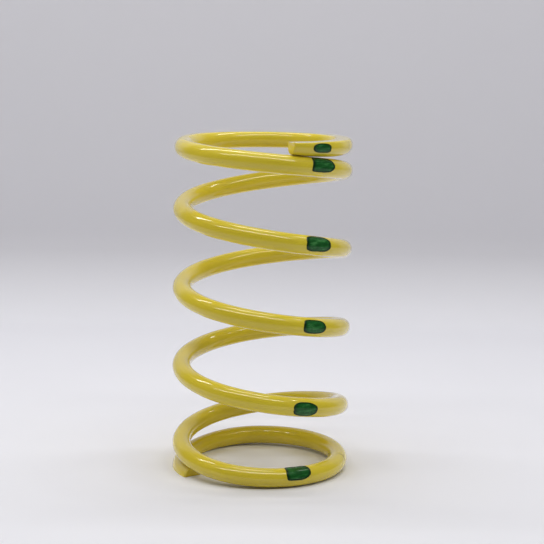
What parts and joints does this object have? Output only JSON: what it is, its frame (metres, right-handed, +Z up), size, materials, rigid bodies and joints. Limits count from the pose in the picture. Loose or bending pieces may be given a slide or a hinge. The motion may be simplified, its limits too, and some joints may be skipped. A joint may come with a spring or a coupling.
{
  "type": "coil spring",
  "caption": "Left-hand helical compression spring with closed, ground ends and a thick glossy coating, for a coil-over damper, with daubs of marking paint along one side.",
  "frame": {"origin": "centre of the spring's lower ground face, on the coil's axis", "axes": "+Z up along the coil's axis from the lower ground face to the upper one; the painted side faces -Y and a little +X"},
  "size_m": [0.082, 0.082, 0.154],
  "materials": {
    "yellow_coating": "gloss",
    "green_paint": "gloss"
  },
  "bodies": {
    "lower_seat": {"lower_tip": "yellow_coating", "lower_end_coil_1": "yellow_coating", "lower_end_coil_2": "yellow_coating", "lower_end_coil_3": "yellow_coating", "lower_end_coil_4": "yellow_coating", "paint_mark_1": "green_paint"},
    "coil_01": {"active_coil_01": "yellow_coating"},
    "coil_02": {"active_coil_02": "yellow_coating"},
    "coil_03": {"active_coil_03": "yellow_coating", "paint_mark_2": "green_paint"},
    "coil_04": {"active_coil_04": "yellow_coating"},
    "coil_05": {"active_coil_05": "yellow_coating"},
    "coil_06": {"active_coil_06": "yellow_coating"},
    "coil_07": {"active_coil_07": "yellow_coating", "paint_mark_3": "green_paint"},
    "coil_08": {"active_coil_08": "yellow_coating"},
    "coil_09": {"active_coil_09": "yellow_coating"},
    "coil_10": {"active_coil_10": "yellow_coating"},
    "coil_11": {"active_coil_11": "yellow_coating", "paint_mark_4": "green_paint"},
    "coil_12": {"active_coil_12": "yellow_coating"},
    "coil_13": {"active_coil_13": "yellow_coating"},
    "coil_14": {"active_coil_14": "yellow_coating"},
    "upper_seat": {"upper_end_coil_1": "yellow_coating", "upper_end_coil_2": "yellow_coating", "upper_end_coil_3": "yellow_coating", "upper_end_coil_4": "yellow_coating", "upper_tip": "yellow_coating", "paint_mark_5": "green_paint", "paint_mark_6": "green_paint"}
  },
  "joints": [
    {"name": "wire_hinge_01", "type": "hinge", "parent": "lower_seat", "child": "coil_01", "pos_m": [-0.03591, 0.00737, 0.0127], "axis": [-0.5505, 0.8348, 0], "range_deg": [0, 3.7], "stiffness_Nm_per_rad": 660},
    {"name": "wire_hinge_02", "type": "hinge", "parent": "coil_01", "child": "coil_02", "pos_m": [0.00738, 0.03597, 0.02185], "axis": [0.9924, 0.1194, 0.0289], "range_deg": [0, 8.27], "stiffness_Nm_per_rad": 660},
    {"name": "wire_hinge_03", "type": "hinge", "parent": "coil_02", "child": "coil_03", "pos_m": [0.03601, -0.00739, 0.031], "axis": [-0.2009, -0.9786, 0.0457], "range_deg": [0, 10.46], "stiffness_Nm_per_rad": 660},
    {"name": "wire_hinge_04", "type": "hinge", "parent": "coil_03", "child": "coil_04", "pos_m": [-0.0074, -0.03604, 0.04015], "axis": [-0.9786, 0.2009, 0.0457], "range_deg": [0, 10.46], "stiffness_Nm_per_rad": 660},
    {"name": "wire_hinge_05", "type": "hinge", "parent": "coil_04", "child": "coil_05", "pos_m": [-0.03605, 0.0074, 0.0493], "axis": [0.2009, 0.9786, 0.0457], "range_deg": [0, 10.46], "stiffness_Nm_per_rad": 660},
    {"name": "wire_hinge_06", "type": "hinge", "parent": "coil_05", "child": "coil_06", "pos_m": [0.0074, 0.03605, 0.05845], "axis": [0.9786, -0.2009, 0.0457], "range_deg": [0, 10.46], "stiffness_Nm_per_rad": 660},
    {"name": "wire_hinge_07", "type": "hinge", "parent": "coil_06", "child": "coil_07", "pos_m": [0.03605, -0.0074, 0.0676], "axis": [-0.2009, -0.9786, 0.0457], "range_deg": [0, 10.46], "stiffness_Nm_per_rad": 660},
    {"name": "wire_hinge_08", "type": "hinge", "parent": "coil_07", "child": "coil_08", "pos_m": [-0.0074, -0.03605, 0.07675], "axis": [-0.9786, 0.2009, 0.0457], "range_deg": [0, 10.46], "stiffness_Nm_per_rad": 660},
    {"name": "wire_hinge_09", "type": "hinge", "parent": "coil_08", "child": "coil_09", "pos_m": [-0.03605, 0.0074, 0.0859], "axis": [0.2009, 0.9786, 0.0457], "range_deg": [0, 10.46], "stiffness_Nm_per_rad": 660},
    {"name": "wire_hinge_10", "type": "hinge", "parent": "coil_09", "child": "coil_10", "pos_m": [0.0074, 0.03605, 0.09505], "axis": [0.9786, -0.2009, 0.0457], "range_deg": [0, 10.46], "stiffness_Nm_per_rad": 660},
    {"name": "wire_hinge_11", "type": "hinge", "parent": "coil_10", "child": "coil_11", "pos_m": [0.03605, -0.0074, 0.1042], "axis": [-0.2009, -0.9786, 0.0457], "range_deg": [0, 10.46], "stiffness_Nm_per_rad": 660},
    {"name": "wire_hinge_12", "type": "hinge", "parent": "coil_11", "child": "coil_12", "pos_m": [-0.0074, -0.03604, 0.11335], "axis": [-0.9786, 0.2009, 0.0457], "range_deg": [0, 10.46], "stiffness_Nm_per_rad": 660},
    {"name": "wire_hinge_13", "type": "hinge", "parent": "coil_12", "child": "coil_13", "pos_m": [-0.03598, 0.00739, 0.1225], "axis": [0.2009, 0.9786, 0.0457], "range_deg": [0, 10.46], "stiffness_Nm_per_rad": 660},
    {"name": "wire_hinge_14", "type": "hinge", "parent": "coil_13", "child": "coil_14", "pos_m": [0.00736, 0.03587, 0.13163], "axis": [0.8651, -0.5007, 0.0289], "range_deg": [0, 8.27], "stiffness_Nm_per_rad": 660},
    {"name": "wire_hinge_15", "type": "hinge", "parent": "coil_14", "child": "upper_seat", "pos_m": [0.03573, -0.00733, 0.13991], "axis": [-0.8348, -0.5505, 0], "range_deg": [0, 3.7], "stiffness_Nm_per_rad": 660}
  ],
  "couplings": [
    {"joint": "wire_hinge_01", "follows": "wire_hinge_02", "ratio": 0.44728},
    {"joint": "wire_hinge_03", "follows": "wire_hinge_02", "ratio": 1.2646},
    {"joint": "wire_hinge_04", "follows": "wire_hinge_02", "ratio": 1.2646},
    {"joint": "wire_hinge_05", "follows": "wire_hinge_02", "ratio": 1.2646},
    {"joint": "wire_hinge_06", "follows": "wire_hinge_02", "ratio": 1.2646},
    {"joint": "wire_hinge_07", "follows": "wire_hinge_02", "ratio": 1.2646},
    {"joint": "wire_hinge_08", "follows": "wire_hinge_02", "ratio": 1.2646},
    {"joint": "wire_hinge_09", "follows": "wire_hinge_02", "ratio": 1.2646},
    {"joint": "wire_hinge_10", "follows": "wire_hinge_02", "ratio": 1.2646},
    {"joint": "wire_hinge_11", "follows": "wire_hinge_02", "ratio": 1.2646},
    {"joint": "wire_hinge_12", "follows": "wire_hinge_02", "ratio": 1.2646},
    {"joint": "wire_hinge_13", "follows": "wire_hinge_02", "ratio": 1.2646},
    {"joint": "wire_hinge_14", "follows": "wire_hinge_02", "ratio": 0.99998},
    {"joint": "wire_hinge_15", "follows": "wire_hinge_02", "ratio": 0.44728}
  ]
}
